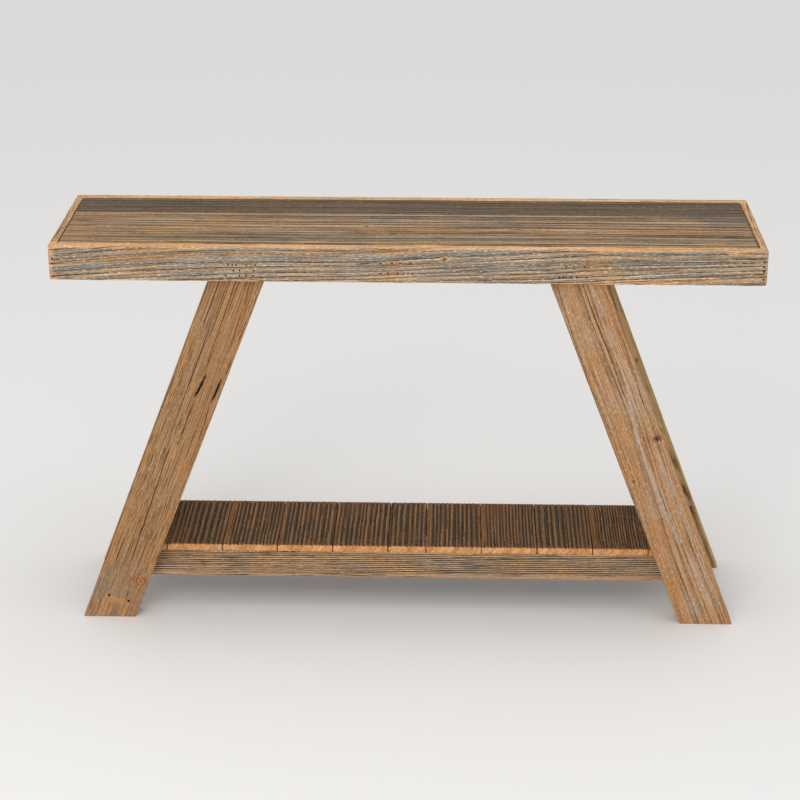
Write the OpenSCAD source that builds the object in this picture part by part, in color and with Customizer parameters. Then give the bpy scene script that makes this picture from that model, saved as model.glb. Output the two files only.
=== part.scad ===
// Rustic console table of weathered boards: a shallow box top with three deck boards let in
// between its aprons, four flat splayed legs cut level at the floor, and a low slatted shelf.
// Millimetres, +X to the right, +Y to the back, +Z up.
// The origin is on the floor, under the middle of the table.

/* [Table] */
// Length over the aprons
table_l = 1219; // [1000:1:1500]
// Depth over the aprons
table_d = 305; // [280:1:400]
// Height of the top from the floor
table_h = 717; // [620:1:800]

/* [Top box] */
// Thickness of the front and back aprons
apron_t = 19; // [16:0.5:25]
// Height of the aprons and the end boards
apron_h = 62; // [58:1:90]
// Thickness of the end boards
end_board_t = 13; // [12:0.5:19]
// Thickness of the deck boards
deck_t = 19; // [16:0.5:22]
// Gap between two deck boards
deck_gap = 0.8; // [0.4:0.1:3]
// Gap between the deck boards' ends and the end boards
deck_end_gap = 1.6; // [0.4:0.1:3]

/* [Deck cleats] */
// Height of the cleats that carry the deck boards
cleat_h = 38; // [30:1:40]
// Thickness of the two end cleats
end_cleat_t = 19; // [16:0.5:25]
// Width of the centre cleat
centre_cleat_w = 89; // [70:1:120]
// Place of the centre cleat along the table
centre_cleat_x = -17; // [-60:1:60]

/* [Legs] */
// Width of a leg board, square to its length
leg_w = 89; // [80:1:110]
// Thickness of a leg board
leg_t = 38; // [32:1:45]
// Outer corner of a foot, from the table's middle
foot_x = 591; // [560:1:609]
// Lean of a leg from upright
leg_lean = 21.15; // [15:0.05:24]

/* [Shelf] */
// Height of the shelf rails' lower edges from the floor
rail_z = 67; // [40:1:120]
// Height of a shelf rail
rail_h = 51; // [45:1:70]
// Thickness of a shelf rail
rail_t = 19; // [16:0.5:25]
// Thickness of the slats
slat_t = 12; // [10:0.5:16]
// Width of a slat
slat_w = 99.6; // [94:0.1:102]
// Width of the narrow slat in the middle
middle_slat_w = 68; // [60:1:100]
// Gap between two slats
slat_gap = 1.2; // [0.4:0.1:3]

/* [Worn edges] */
// Radius that wear has put on the boards' long edges
arris_r = 2; // [0.5:0.1:3]
// Radius on the aprons' upright corners
corner_r = 4; // [2:0.5:6]

/* [Fasteners] */
// Diameter of a brad's shank
brad_d = 1.8; // [1.4:0.1:2.2]
// Diameter of a brad's head
brad_head_d = 2.8; // [2.6:0.1:3.4]
// Depth that brad heads are set below the surface
brad_sink = 0.6; // [0.2:0.1:1]
// Length of the brads through the aprons
apron_brad_l = 38; // [34:1:40]
// Length of the brads through the slats
slat_brad_l = 32; // [26:1:34]
// Diameter of a screw's shank
screw_d = 4; // [3.5:0.1:4.2]
// Diameter of a screw's countersunk head
screw_head_d = 8; // [7:0.1:8.4]
// Length of the screws up into the deck boards
deck_screw_l = 50; // [44:1:52]
// Length of the screws through the shelf rails into the legs
rail_screw_l = 40; // [34:1:44]
// Length of the screws through the end cleats
cleat_screw_l = 27; // [24:1:28]

/* [Hidden] */
$fn = 32;

// Top box
apron_z = table_h - apron_h;                            // lower edge of the aprons
inner_l = table_l - 2 * end_board_t;                    // between the end boards
inner_d = table_d - 2 * apron_t;                        // between the aprons
deck_z = table_h - deck_t;                              // underside of the deck boards
deck_l = inner_l - 2 * deck_end_gap;
deck_w = (inner_d - 2 * deck_gap) / 3;
end_cleat_x = inner_l / 2 - end_cleat_t / 2;

// Legs
leg_run = leg_w / cos(leg_lean);                        // width of a leg along a level line
leg_y = inner_d / 2 - leg_t / 2;                        // middle of a leg, front to back
function leg_x(z) = foot_x - leg_run / 2 - z * tan(leg_lean);

// Shelf
side_slats = 5;                                         // slats on each side of the middle one
shelf_d = inner_d - 2 * leg_t;                          // between front and rear legs
slat_pitch = slat_w + slat_gap;
shelf_l = middle_slat_w + 2 * side_slats * slat_pitch;
slat_z = rail_z + rail_h;
rail_y = shelf_d / 2 - rail_t / 2;

// Fastener details
fit_gap = 0.1;                                          // air around a shank in its hole
brad_head_h = 0.9;
brad_point = 3;
screw_head_h = 3.4;
screw_point = 5;
recess_w = 1.2;                                         // cross recess in a screw's head
recess_l = 4.4;
recess_depth = 1.6;

// Brads through an apron, as rows of [height above its lower edge, [places along the row]]
left_leg_rows = [[30, [-21, -14, -7, 10, 25]], [20, [-12, -2, 23]], [11, [-25, -2, 9, 21]]];
right_leg_rows = [[32, [-12, 1, 18]], [13, [-25, -19, -13, -3, 6, 22]]];
centre_rows = [[35, [-27, -8, 6, 23]], [17, [-27, -14, 2, 12, 19, 27]]];
left_corner_rows = [[39, [0]], [30, [0]], [7, [0]]];
right_corner_rows = [[43, [0]], [34, [0]], [26, [0]], [12, [0]]];

// Places of the other fasteners
deck_screw_y = [for (row = [-1 : 1], side = [-1, 1]) row * (deck_w + deck_gap) + side * 18];
cleat_screw_y = [for (row = [-1 : 1]) row * (deck_w + deck_gap)];
rail_screw_at = [for (side = [-1, 1]) [side * 20, rail_z + rail_h / 2 - side * 12]];

// Middle and width of slat number i, counted from the left end
function slat_x(i) = (i - side_slats - 1) * slat_pitch
    + sign(i - side_slats - 1) * (middle_slat_w - slat_w) / 2;
function slat_width(i) = i == side_slats + 1 ? middle_slat_w : slat_w;

// ---- Timber sections -------------------------------------------------------------------

// Rectangle with worn corners, centred
module worn_section(a, b, r) {
    square([a - 2 * r, b], center = true);
    square([a, b - 2 * r], center = true);
    for (x = [-1, 1], y = [-1, 1])
        translate([x * (a / 2 - r), y * (b / 2 - r)]) circle(r);
}

// Board along X, centred in X and Y, standing on z = 0
module board_x(l, w, t)
    translate([-l / 2, 0, t / 2])
        rotate([90, 0, 90]) linear_extrude(l) worn_section(w, t, arris_r);

// Board along Y, centred in X and Y, standing on z = 0
module board_y(l, w, t)
    rotate([0, 0, 90]) board_x(l, w, t);

// ---- Fasteners, all pointing down from a surface at z = 0 ------------------------------

module brad(l) {
    top = -brad_sink;
    translate([0, 0, top - brad_head_h]) cylinder(d = brad_head_d, h = brad_head_h);
    translate([0, 0, top - l + brad_point]) cylinder(d = brad_d, h = l - brad_point - 0.2);
    translate([0, 0, top - l]) cylinder(d1 = 0.4, d2 = brad_d, h = brad_point);
}

module brad_hole(l) {
    seat = -brad_sink - brad_head_h;
    translate([0, 0, seat]) cylinder(d = brad_head_d + 2 * fit_gap, h = 5);
    translate([0, 0, -brad_sink - l - fit_gap])
        cylinder(d = brad_d + 2 * fit_gap, h = l + seat + brad_sink + 0.2);
}

module screw(l)
    difference() {
        union() {
            translate([0, 0, -screw_head_h])
                cylinder(d1 = screw_d, d2 = screw_head_d, h = screw_head_h);
            translate([0, 0, screw_point - l]) cylinder(d = screw_d, h = l - screw_point - 1);
            translate([0, 0, -l]) cylinder(d1 = 0.6, d2 = screw_d, h = screw_point);
        }
        for (turn = [0, 90])
            rotate([0, 0, turn])
                translate([-recess_l / 2, -recess_w / 2, -recess_depth])
                    cube([recess_l, recess_w, recess_depth + 1]);
    }

module screw_hole(l) {
    wide = screw_head_d + 2 * fit_gap;
    narrow = screw_d + 2 * fit_gap;
    translate([0, 0, -screw_head_h]) cylinder(d1 = narrow, d2 = wide, h = screw_head_h);
    translate([0, 0, -0.01]) cylinder(d = wide, h = 1);
    translate([0, 0, -l - fit_gap]) cylinder(d = narrow, h = l);
}

// ---- Places of the fasteners -----------------------------------------------------------

// Children at each brad of one group, on the outer face of the front apron
module brad_group(x, rows)
    for (row = rows, dx = row[1])
        translate([x + dx, -table_d / 2, apron_z + row[0]]) rotate([90, 0, 0]) children();

module at_leg_brads() {
    brad_group(-leg_x(apron_z + 20), left_leg_rows) children();
    brad_group(leg_x(apron_z + 20), right_leg_rows) children();
}

module at_centre_brads()
    brad_group(centre_cleat_x, centre_rows) children();

module at_corner_brads() {
    brad_group(-(table_l - end_board_t) / 2, left_corner_rows) children();
    brad_group((table_l - end_board_t) / 2, right_corner_rows) children();
}

module at_apron_brads() {
    at_leg_brads() children();
    at_centre_brads() children();
    at_corner_brads() children();
}

// What is drawn for the front, turned to the back
module on_back()
    mirror([0, 1, 0]) children();

// What is drawn for the right, on the left (side -1) or on the right (side 1)
module on_side(side)
    mirror([side < 0 ? 1 : 0, 0, 0]) children();

module at_deck_screws(x)
    for (y = deck_screw_y)
        translate([x, y, deck_z - cleat_h]) rotate([180, 0, 0]) children();

// Screws from the right end cleat's inner face into the right end board
module at_cleat_screws()
    for (y = cleat_screw_y)
        translate([inner_l / 2 - end_cleat_t, y, deck_z - cleat_h / 2])
            rotate([0, -90, 0]) children();

// Screws from the front rail's inner face into the front right leg
module at_rail_screws()
    for (at = rail_screw_at)
        translate([leg_x(at[1]) + at[0], -(shelf_d / 2 - rail_t), at[1]])
            rotate([-90, 0, 0]) children();

module at_all_rail_screws()
    for (side = [-1, 1]) {
        on_side(side) at_rail_screws() children();
        on_back() on_side(side) at_rail_screws() children();
    }

// Brads at both ends of slat number i
module at_slat_brads(i)
    for (side = [-1, 1], end = [-1, 1])
        translate([slat_x(i) + side * slat_width(i) / 4, end * rail_y, slat_z + slat_t])
            children();

// ---- Top box ---------------------------------------------------------------------------

// Front apron without its brad holes
module apron_board()
    intersection() {
        translate([0, -(table_d - apron_t) / 2, apron_z]) board_x(table_l, apron_t, apron_h);
        translate([0, -(table_d - apron_t) / 2, apron_z])
            linear_extrude(apron_h) worn_section(table_l, apron_t, corner_r);
    }

module front_apron()
    color("#8f8578") difference() {
        apron_board();
        at_apron_brads() brad_hole(apron_brad_l);
    }

module back_apron()
    color("#877a69") on_back() difference() {
        apron_board();
        at_apron_brads() brad_hole(apron_brad_l);
    }

// End board on the left (side -1) or on the right (side 1)
module end_board(side)
    color("#b38a59") difference() {
        translate([side * (table_l - end_board_t) / 2, 0, apron_z])
            board_y(inner_d, end_board_t, apron_h);
        at_corner_brads() brad_hole(apron_brad_l);
        on_back() at_corner_brads() brad_hole(apron_brad_l);
        on_side(side) at_cleat_screws() screw_hole(cleat_screw_l);
    }

module left_end_board() end_board(-1);
module right_end_board() end_board(1);

// Deck board in row -1 (front), 0 or 1 (back)
module deck_board(row)
    difference() {
        translate([0, row * (deck_w + deck_gap), deck_z]) board_x(deck_l, deck_w, deck_t);
        for (x = [-end_cleat_x, centre_cleat_x, end_cleat_x])
            at_deck_screws(x) screw_hole(deck_screw_l);
    }

module deck_board_front() color("#86705a") deck_board(-1);
module deck_board_middle() color("#7d6a56") deck_board(0);
module deck_board_back() color("#6f5c49") deck_board(1);

// ---- Deck cleats -----------------------------------------------------------------------

module right_end_cleat()
    color("#c29a6b") difference() {
        translate([end_cleat_x, 0, deck_z - cleat_h])
            board_y(inner_d, end_cleat_t, cleat_h);
        at_deck_screws(end_cleat_x) screw_hole(deck_screw_l);
        at_cleat_screws() screw_hole(cleat_screw_l);
    }

module left_end_cleat() on_side(-1) right_end_cleat();

module centre_cleat()
    color("#c29a6b") difference() {
        translate([centre_cleat_x, 0, deck_z - cleat_h])
            board_y(inner_d, centre_cleat_w, cleat_h);
        at_deck_screws(centre_cleat_x) screw_hole(deck_screw_l);
        at_centre_brads() brad_hole(apron_brad_l);
        on_back() at_centre_brads() brad_hole(apron_brad_l);
    }

// ---- Legs ------------------------------------------------------------------------------

// Front right leg without its holes, cut level at the floor and under the deck boards
module leg_board()
    intersection() {
        translate([leg_x(0), -leg_y, 0]) rotate([0, -leg_lean, 0])
            translate([0, 0, -leg_w]) linear_extrude(table_h * 1.2 + leg_w)
                worn_section(leg_w, leg_t, arris_r);
        translate([0, -table_d, 0]) cube([table_l, 2 * table_d, deck_z]);
    }

// Front leg on the left (side -1) or on the right (side 1)
module front_leg(side)
    color("#8d7153") difference() {
        on_side(side) leg_board();
        at_leg_brads() brad_hole(apron_brad_l);
        on_side(side) at_rail_screws() screw_hole(rail_screw_l);
    }

module front_left_leg() front_leg(-1);
module front_right_leg() front_leg(1);
module rear_left_leg() on_back() front_leg(-1);
module rear_right_leg() on_back() front_leg(1);

// ---- Shelf -----------------------------------------------------------------------------

module shelf_front_rail()
    color("#857464") difference() {
        translate([0, -rail_y, rail_z]) board_x(shelf_l, rail_t, rail_h);
        at_all_rail_screws() screw_hole(rail_screw_l);
        for (i = [1 : 2 * side_slats + 1]) at_slat_brads(i) brad_hole(slat_brad_l);
    }

module shelf_back_rail()
    on_back() shelf_front_rail();

// Slat number i, counted from the left end, laid front to back over both rails
module shelf_slat(i)
    color("#4d3a2a") difference() {
        translate([slat_x(i), 0, slat_z]) board_y(shelf_d, slat_width(i), slat_t);
        at_slat_brads(i) brad_hole(slat_brad_l);
    }

// ---- Fastener groups -------------------------------------------------------------------

module front_apron_brads()
    color("#4a4038") at_apron_brads() brad(apron_brad_l);

module back_apron_brads()
    on_back() front_apron_brads();

module slat_brads()
    color("#4a4038")
        for (i = [1 : 2 * side_slats + 1]) at_slat_brads(i) brad(slat_brad_l);

module deck_screws()
    color("#b9a35e")
        for (x = [-end_cleat_x, centre_cleat_x, end_cleat_x])
            at_deck_screws(x) screw(deck_screw_l);

module end_cleat_screws()
    color("#b9a35e")
        for (side = [-1, 1]) on_side(side) at_cleat_screws() screw(cleat_screw_l);

module shelf_rail_screws()
    color("#b9a35e") at_all_rail_screws() screw(rail_screw_l);

// ---- The table -------------------------------------------------------------------------

front_apron();
back_apron();
left_end_board();
right_end_board();
deck_board_front();
deck_board_middle();
deck_board_back();
left_end_cleat();
centre_cleat();
right_end_cleat();
front_left_leg();
front_right_leg();
rear_left_leg();
rear_right_leg();
shelf_front_rail();
shelf_back_rail();
for (i = [1 : 2 * side_slats + 1])
    shelf_slat(i);
front_apron_brads();
back_apron_brads();
slat_brads();
deck_screws();
end_cleat_screws();
shelf_rail_screws();
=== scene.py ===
"""Looks of a console table of weathered softwood boards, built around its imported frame.

Each board is sawn to the size and place that the frame gives, worn round at its edges, weathered
along its grain, split where it has dried, and finished with a procedural wood.
"""

import logging
import math
from collections.abc import Callable
from dataclasses import dataclass, field, replace
from enum import Enum

import bmesh
import bpy
import numpy as np
from mathutils import Matrix, Vector
from mathutils.kdtree import KDTree

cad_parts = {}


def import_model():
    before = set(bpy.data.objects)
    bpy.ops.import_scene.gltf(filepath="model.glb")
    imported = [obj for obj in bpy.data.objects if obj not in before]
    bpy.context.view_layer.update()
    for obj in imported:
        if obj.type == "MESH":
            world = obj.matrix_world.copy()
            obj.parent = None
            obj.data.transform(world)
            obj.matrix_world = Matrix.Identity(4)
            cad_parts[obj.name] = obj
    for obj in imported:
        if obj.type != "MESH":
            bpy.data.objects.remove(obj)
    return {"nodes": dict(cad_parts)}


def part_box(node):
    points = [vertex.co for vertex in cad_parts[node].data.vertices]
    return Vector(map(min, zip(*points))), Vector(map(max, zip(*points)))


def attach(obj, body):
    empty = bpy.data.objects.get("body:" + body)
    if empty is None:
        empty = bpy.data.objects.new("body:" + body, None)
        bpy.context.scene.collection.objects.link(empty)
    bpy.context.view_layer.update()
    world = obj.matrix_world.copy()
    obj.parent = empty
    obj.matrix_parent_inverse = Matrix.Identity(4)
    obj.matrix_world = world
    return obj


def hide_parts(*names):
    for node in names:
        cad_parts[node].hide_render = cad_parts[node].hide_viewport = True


LOG = logging.getLogger("console_table")
MM = 0.001
ROOT = "root"

GRAIN_MAP = "grain"      # UV map: along the grain and across it, in millimetres
KNOT_MAP = "knot"        # UV map: offset from the nearest knot, in knot radii
RELIEF = "relief"        # attribute: 0 in a groove to 1 on a ridge, and below 0 in cracks, seams and strips of painted shade
WEAR = "wear"            # attribute: 1 where wood is worn fresh, 0 as it weathered, -1 greyed most

CRACK_DIRT = "#33261b"
# Dark of seams, cracks and pockets, and also the painted shade and shadow of the strips on the legs.
SEAM_DIRT_AND_SHADE = "#1d150f"

UP = Vector((0, 0, 1))
RIGHT = Vector((1, 0, 0))
BACK = Vector((0, 1, 0))

Tree = bpy.types.NodeTree
Socket = bpy.types.NodeSocket
Nodes = dict[str, bpy.types.Object]


# ---- Small helpers ---------------------------------------------------------------------------


def linear(srgb: str) -> tuple[float, float, float, float]:
    """Turns an sRGB hex colour into the linear one that shaders take.

    Args:
        srgb: The colour, such as "#a48f79".

    Returns:
        Red, green, blue and an alpha of 1.
    """
    parts = [int(srgb[i : i + 2], 16) / 255 for i in (1, 3, 5)]
    red, green, blue = (
        c / 12.92 if c <= 0.04045 else ((c + 0.055) / 1.055) ** 2.4 for c in parts
    )
    return red, green, blue, 1.0


def add_node(
    tree: Tree, kind: str, inputs: dict | None = None, out: int | str = 0, **settings: object
) -> Socket:
    """Adds a shader node with its settings, values and links.

    Args:
        tree: The node tree that gets the node.
        kind: The node's type name, without the ShaderNode before it.
        inputs: Input name or number to a value, or to the output socket that feeds it.
        out: Number or name of the output that is wanted.
        settings: The node's own properties.

    Returns:
        That output socket of the new node.
    """
    node = tree.nodes.new("ShaderNode" + kind)
    for name, value in settings.items():
        setattr(node, name, value)
    for key, value in (inputs or {}).items():
        if isinstance(value, Socket):
            tree.links.new(value, node.inputs[key])
        else:
            node.inputs[key].default_value = value
    return node.outputs[out]


def set_ramp(ramp: bpy.types.ColorRamp, stops: list[tuple[float, str]]) -> None:
    """Gives a colour ramp its stops.

    Args:
        ramp: The ramp, as Blender makes it, with two stops.
        stops: Position and sRGB colour of each stop, from low to high.
    """
    while len(ramp.elements) < len(stops):
        ramp.elements.new(0.5)
    for element, (position, colour) in zip(ramp.elements, stops):
        element.position = position
        element.color = linear(colour)


def pick(obj: bpy.types.Object) -> None:
    """Makes one object the only selected one, and active."""
    bpy.ops.object.select_all(action="DESELECT")
    obj.select_set(True)
    bpy.context.view_layer.objects.active = obj


def read(
    items: bpy.types.bpy_prop_collection, what: str, width: int = 1, kind: type = float
) -> np.ndarray:
    """Reads one property of every item in a collection.

    Args:
        items: The collection, such as a mesh's vertices.
        what: The property's name.
        width: How many numbers it holds.
        kind: float, np.float32 or np.int32.

    Returns:
        One number for each item, or one row of them.
    """
    values = np.empty(len(items) * width, np.int32 if kind is np.int32 else np.float32)
    items.foreach_get(what, values)
    values = values.astype(kind)
    return values.reshape(-1, width) if width > 1 else values


def write_attribute(obj: bpy.types.Object, name: str, values: np.ndarray) -> None:
    """Stores one number for each vertex, over any that was there.

    Args:
        obj: The mesh object.
        name: The attribute's name.
        values: The numbers.
    """
    known = obj.data.attributes
    layer = known.get(name) or known.new(name, "FLOAT", "POINT")
    layer.data.foreach_set("value", values.astype(np.float32))


def heads(nodes: Nodes, group: str, axis: int, level: float, reach: float) -> list[Vector]:
    """Finds the fastener heads of a group that lie on one plane.

    Args:
        nodes: The frame's nodes by name.
        group: The node that holds the fasteners.
        axis: 0, 1 or 2, for the axis that the plane is square to.
        level: The plane's place along that axis, in metres.
        reach: A length over a head's diameter and under the space between two heads.

    Returns:
        The middle of each head.
    """
    co = read(nodes[group].data.vertices, "co", 3)
    rim = co[np.abs(co[:, axis] - level) < 0.05 * MM]
    found: list[list[np.ndarray]] = []
    for point in rim:
        near = [g for g in found if np.linalg.norm(g[0] - point) < reach]
        if near:
            near[0].append(point)
        else:
            found.append([point])
    return [Vector((np.min(g, 0) + np.max(g, 0)) / 2) for g in found]


# ---- Finishes --------------------------------------------------------------------------------


def drawn_noise(
    tree: Tree, grain: Socket, width: float, stretch: float, detail: float, rough: float = 0.62
) -> Socket:
    """Makes a noise drawn out along the grain.

    Args:
        tree: The material's tree.
        grain: The grain map.
        width: Width of a line, in mm.
        stretch: How much longer than wide a line is.
        detail: How many finer noises are laid over the first.
        rough: How strong they are.

    Returns:
        The noise, about 0.5.
    """
    scale = (1 / (width * stretch), 1 / width, 1)
    drawn = add_node(tree, "Mapping", {"Vector": grain, "Scale": scale})
    inputs = {"Vector": drawn, "Scale": 1.0, "Detail": detail, "Roughness": rough}
    return add_node(tree, "TexNoise", inputs, noise_dimensions="2D")


def add_up(tree: Tree, plus: float, *terms: tuple[Socket, float]) -> Socket:
    """Adds values up by their shares.

    Args:
        tree: The material's tree.
        plus: What the sum starts from.
        terms: Each value with its share.

    Returns:
        The sum.
    """
    for value, share in terms:
        plus = add_node(tree, "Math", {0: value, 1: share, 2: plus}, operation="MULTIPLY_ADD")
    return plus


def lay_coats(tree: Tree, face: Socket, *coats: tuple[Socket, float, float, float, str]) -> Socket:
    """Lays colours over a face, one after another.

    Args:
        tree: The material's tree.
        face: The face's colour.
        coats: For each, the value that says where it lies, the levels of that value where it
            starts and where it is fullest, how full it is there, and its sRGB colour.

    Returns:
        The colour of the face with its coats.
    """
    for value, start, fullest, most, colour in coats:
        levels = {"Value": value, "From Min": start, "From Max": fullest, "To Max": most}
        layers = {0: add_node(tree, "MapRange", levels), 6: face, 7: linear(colour)}
        face = add_node(tree, "Mix", layers, 2, data_type="RGBA")
    return face


@dataclass(frozen=True)
class Finish:
    """What a surface is made of."""

    name: str

    def make(self) -> bpy.types.Material:
        """Builds the material.

        Returns:
            The new material.
        """
        material = bpy.data.materials.new(self.name)
        material.use_nodes = True
        tree = material.node_tree
        tree.nodes.clear()
        shader = add_node(tree, "BsdfPrincipled", self.look(tree))
        tree.links.new(shader, tree.nodes.new("ShaderNodeOutputMaterial").inputs["Surface"])
        return material

    def look(self, tree: Tree) -> dict[str, object]:
        """Draws the surface, and returns the shader's inputs."""
        raise NotImplementedError


@dataclass(frozen=True)
class WeatheredPine(Finish):
    """Face of a softwood board left out in the weather for years.

    Rain washes the soft early wood grey and wears it down, while the hard late wood stands up in
    ridges that keep some of their orange. Dirt and painted shade darken the groove where the two
    meet, and dirt the hair cracks along the grain. It is bare and dry, so it has almost no gloss.
    """

    groove: str              # dirt and painted shade at the foot of a ridge
    valley: str              # washed early wood
    valley_light: str        # the same, bleached
    ridge: str               # late wood
    ridge_light: str         # late wood, rubbed
    fresh: str               # wood that wear has laid bare along the edges
    cool: str = "#74716c"    # silvery grey of long weather, in patches
    cool_amount: float = 0.3
    warm: str = "#a8774a"    # orange where rain did not reach, in patches
    warm_amount: float = 0.3
    patch_mm: float = 130.0
    fleck: str = "#d8d2c6"   # pale lifted fibres
    fleck_amount: float = 0.2
    line_mm: float = 1.7     # width of the fine lines
    line_stretch: float = 130.0
    line_strength: float = 0.4
    fibre_mm: float = 1.5    # coarser than true fibres, so that they show
    fibre_strength: float = 0.14
    hair_mm: float = 14.0    # space between the hair cracks
    hair_width: float = 0.012
    slit_level: float = 0.33  # more slits at a higher level
    grey_amount: float = 0.6  # how much of the cool colour a greyed stain takes
    knot: str = "#7a5233"
    wear_amount: float = 0.8
    wear_start: float = 0.8
    roughness: float = 0.82
    bump_mm: float = 0.35

    def look(self, tree: Tree) -> dict[str, object]:
        """Draws the grain, then the weather, the wear, the cracks and the knots over it.

        Args:
            tree: The material's tree.

        Returns:
            The shader's inputs.
        """
        grain = add_node(tree, "UVMap", uv_map=GRAIN_MAP)
        relief, wear = (
            add_node(tree, "Attribute", out="Fac", attribute_name=name, attribute_type="GEOMETRY")
            for name in (RELIEF, WEAR)
        )
        lines = drawn_noise(tree, grain, self.line_mm, self.line_stretch, 2.0)
        broad = drawn_noise(tree, grain, 6 * self.line_mm, 30, 3.0)
        fibres = drawn_noise(tree, grain, self.fibre_mm, 5, 2.0)
        ragged = drawn_noise(tree, grain, 3.2, 12, 4.0)
        slits = drawn_noise(tree, grain, 1.6, 40, 1.0)
        patches = {"Scale": 1 / (self.patch_mm * MM), "Detail": 4.0, "Roughness": 0.62}
        patches["Vector"] = add_node(tree, "TexCoord", out="Object")
        patches = add_node(tree, "TexNoise", patches)

        height = add_up(tree, -0.15, (relief, 1.0), (broad, 0.3))
        # The groove stop paints dirt and shade at the foot of each ridge; the other stops are the
        # wood's own tones.
        face = add_node(tree, "ValToRGB", {"Fac": height})
        set_ramp(
            face.node.color_ramp,
            [
                (0.12, self.groove),
                (0.26, self.valley),
                (0.42, self.valley_light),
                (0.60, self.ridge),
                (0.86, self.ridge_light),
                (1.0, self.ridge),
            ],
        )
        worn = add_up(tree, -0.6, (wear, 1.0), (ragged, 1.2))
        greyed = add_up(tree, -1.3, (wear, 1.0), (ragged, 2.6))
        face = lay_coats(
            tree,
            face,
            (patches, 0.5, 0.68, self.cool_amount, self.cool),
            (patches, 0.5, 0.34, self.warm_amount, self.warm),
            (worn, self.wear_start - 0.35, self.wear_start, self.wear_amount, self.fresh),
            (greyed, -0.4, -1.15, self.grey_amount, self.cool),
            (fibres, 0.62, 0.74, self.fleck_amount, self.fleck),
        )
        for noise, strength in ((lines, self.line_strength), (fibres, self.fibre_strength)):
            levels = {"Value": noise, "From Min": 0.28, "From Max": 0.72}
            levels |= {"To Min": 1 - strength * 1.15, "To Max": 1 + strength}
            shade = add_node(tree, "MapRange", levels)
            face = add_node(tree, "VectorMath", {0: face, "Scale": shade}, operation="SCALE")
        hairs = self._hairs(tree, grain)
        face = lay_coats(
            tree,
            face,
            (hairs, 0.0, 1.0, 1.0, CRACK_DIRT),
            (slits, self.slit_level, self.slit_level - 0.05, 0.85, CRACK_DIRT),
        )
        # Relief below 0 lays dark seam and crack dirt, and painted shade on the shade strips.
        face = lay_coats(tree, self._knots(tree, face), (relief, -0.35, -1.2, 0.94, SEAM_DIRT_AND_SHADE))
        raised = add_up(tree, 0.0, (lines, 0.6), (fibres, 0.4))
        raised = add_up(tree, 0.0, (raised, 1.0), (hairs, -0.8))
        raised = {"Height": raised, "Strength": 0.8, "Distance": self.bump_mm * MM}
        return {
            "Base Color": face,
            "Normal": add_node(tree, "Bump", raised),
            "Roughness": self.roughness,
            "Specular IOR Level": 0.25,
        }

    def _hairs(self, tree: Tree, grain: Socket) -> Socket:
        """Draws hair cracks along the grain: thin contour lines of a long, slow noise.

        Args:
            tree: The material's tree.
            grain: The grain map.

        Returns:
            1 in a crack and 0 beside it.
        """
        slow = drawn_noise(tree, grain, self.hair_mm, 110, 1.0)
        off = add_node(tree, "Math", {0: slow, 1: 0.5}, operation="SUBTRACT")
        size = add_node(tree, "Math", {0: off}, operation="ABSOLUTE")
        thin = {"Value": size, "From Min": self.hair_width, "From Max": 0.0, "To Max": 0.9}
        where = {"Value": drawn_noise(tree, grain, 30.0, 5, 2.0), "From Min": 0.42, "From Max": 0.56}
        parts = {n: add_node(tree, "MapRange", levels) for n, levels in enumerate((thin, where))}
        return add_node(tree, "Math", parts, operation="MULTIPLY")

    def _knots(self, tree: Tree, face: Socket) -> Socket:
        """Lays on the knots: a dark heart, close rings, a dark rim, and warm wood round it.

        Args:
            tree: The material's tree.
            face: The face's colour.

        Returns:
            The colour with the knots.
        """
        off = add_node(tree, "UVMap", uv_map=KNOT_MAP)
        far = add_node(tree, "VectorMath", {0: off}, "Value", operation="LENGTH")
        uneven = {"Vector": off, "Scale": 1.4, "Detail": 2.0}
        uneven = add_node(tree, "TexNoise", uneven, noise_dimensions="2D")
        far = add_up(tree, -0.35, (far, 1.0), (uneven, 0.7))
        turns = add_node(tree, "Math", {0: far, 1: 17.0}, operation="MULTIPLY")
        waves = add_node(tree, "Math", {0: turns}, operation="SINE")
        waves = {"Value": waves, "From Min": 0.2, "To Max": 0.3}
        inside = {"Value": far, "From Min": 1.08, "From Max": 0.9, "To Max": 0.85}
        parts = {n: add_node(tree, "MapRange", levels) for n, levels in enumerate((waves, inside))}
        rings = add_node(tree, "Math", parts, operation="MULTIPLY")
        rim = add_node(tree, "Math", {0: far, 1: 1.0}, operation="SUBTRACT")
        rim = add_node(tree, "Math", {0: rim}, operation="ABSOLUTE")
        return lay_coats(
            tree,
            face,
            (far, 2.4, 1.0, 0.5, self.warm),
            (far, 1.08, 0.9, 0.85, self.knot),
            (rings, 0.0, 1.0, 1.0, "#3c281a"),
            (rim, 0.14, 0.04, 0.55, "#33231a"),
            (far, 0.3, 0.12, 0.8, "#2a1c13"),
        )


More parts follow.
